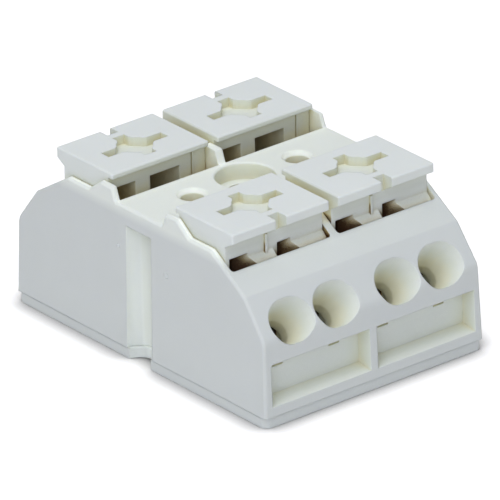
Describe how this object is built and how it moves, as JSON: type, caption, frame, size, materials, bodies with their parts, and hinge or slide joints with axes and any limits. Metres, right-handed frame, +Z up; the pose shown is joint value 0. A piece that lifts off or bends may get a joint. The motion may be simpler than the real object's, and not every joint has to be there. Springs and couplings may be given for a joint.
{
  "type": "terminal strip",
  "caption": "White spring-clamp terminal strip for a chassis, with cross-marked push buttons over angled round wire entries, a fixing hole in its deck and marking recesses.",
  "frame": {"origin": "middle of the underside of the base cover, where the strip stands on the chassis", "axes": "+X along the row of poles, -Y towards the front wire entries, +Y towards the back ones, +Z up out of the deck"},
  "size_m": [0.025, 0.0358, 0.0168],
  "materials": {
    "housing_plastic": "white polyamide, fine matte moulding",
    "button_plastic": "white polyamide, fine matte moulding",
    "contact_metal": "tinned copper, dull",
    "spring_steel": "bright rolled strip"
  },
  "bodies": {
    "strip": {"housing": "housing_plastic", "base_cover": "housing_plastic", "current_bar_1": "contact_metal", "current_bar_2": "contact_metal", "clamp_spring_front_1_left": "spring_steel", "clamp_spring_front_1_right": "spring_steel", "clamp_spring_front_2_left": "spring_steel", "clamp_spring_front_2_right": "spring_steel", "clamp_spring_back_1_left": "spring_steel", "clamp_spring_back_1_right": "spring_steel", "clamp_spring_back_2_left": "spring_steel", "clamp_spring_back_2_right": "spring_steel"},
    "button_front_1": {"push_button_front_1": "button_plastic"},
    "button_front_2": {"push_button_front_2": "button_plastic"},
    "button_back_1": {"push_button_back_1": "button_plastic"},
    "button_back_2": {"push_button_back_2": "button_plastic"}
  },
  "joints": [
    {"name": "button_front_1_press", "type": "slide", "parent": "strip", "child": "button_front_1", "axis": [0, 0, -1], "range_m": [0, 0.0015], "stiffness_N_per_m": 2000, "springref_m": -0.0005, "deforming": ["clamp_spring_front_1_left", "clamp_spring_front_1_right"]},
    {"name": "button_front_2_press", "type": "slide", "parent": "strip", "child": "button_front_2", "axis": [0, 0, -1], "range_m": [0, 0.0015], "stiffness_N_per_m": 2000, "springref_m": -0.0005, "deforming": ["clamp_spring_front_2_left", "clamp_spring_front_2_right"]},
    {"name": "button_back_1_press", "type": "slide", "parent": "strip", "child": "button_back_1", "axis": [0, 0, -1], "range_m": [0, 0.0015], "stiffness_N_per_m": 2000, "springref_m": -0.0005, "deforming": ["clamp_spring_back_1_left", "clamp_spring_back_1_right"]},
    {"name": "button_back_2_press", "type": "slide", "parent": "strip", "child": "button_back_2", "axis": [0, 0, -1], "range_m": [0, 0.0015], "stiffness_N_per_m": 2000, "springref_m": -0.0005, "deforming": ["clamp_spring_back_2_left", "clamp_spring_back_2_right"]}
  ]
}
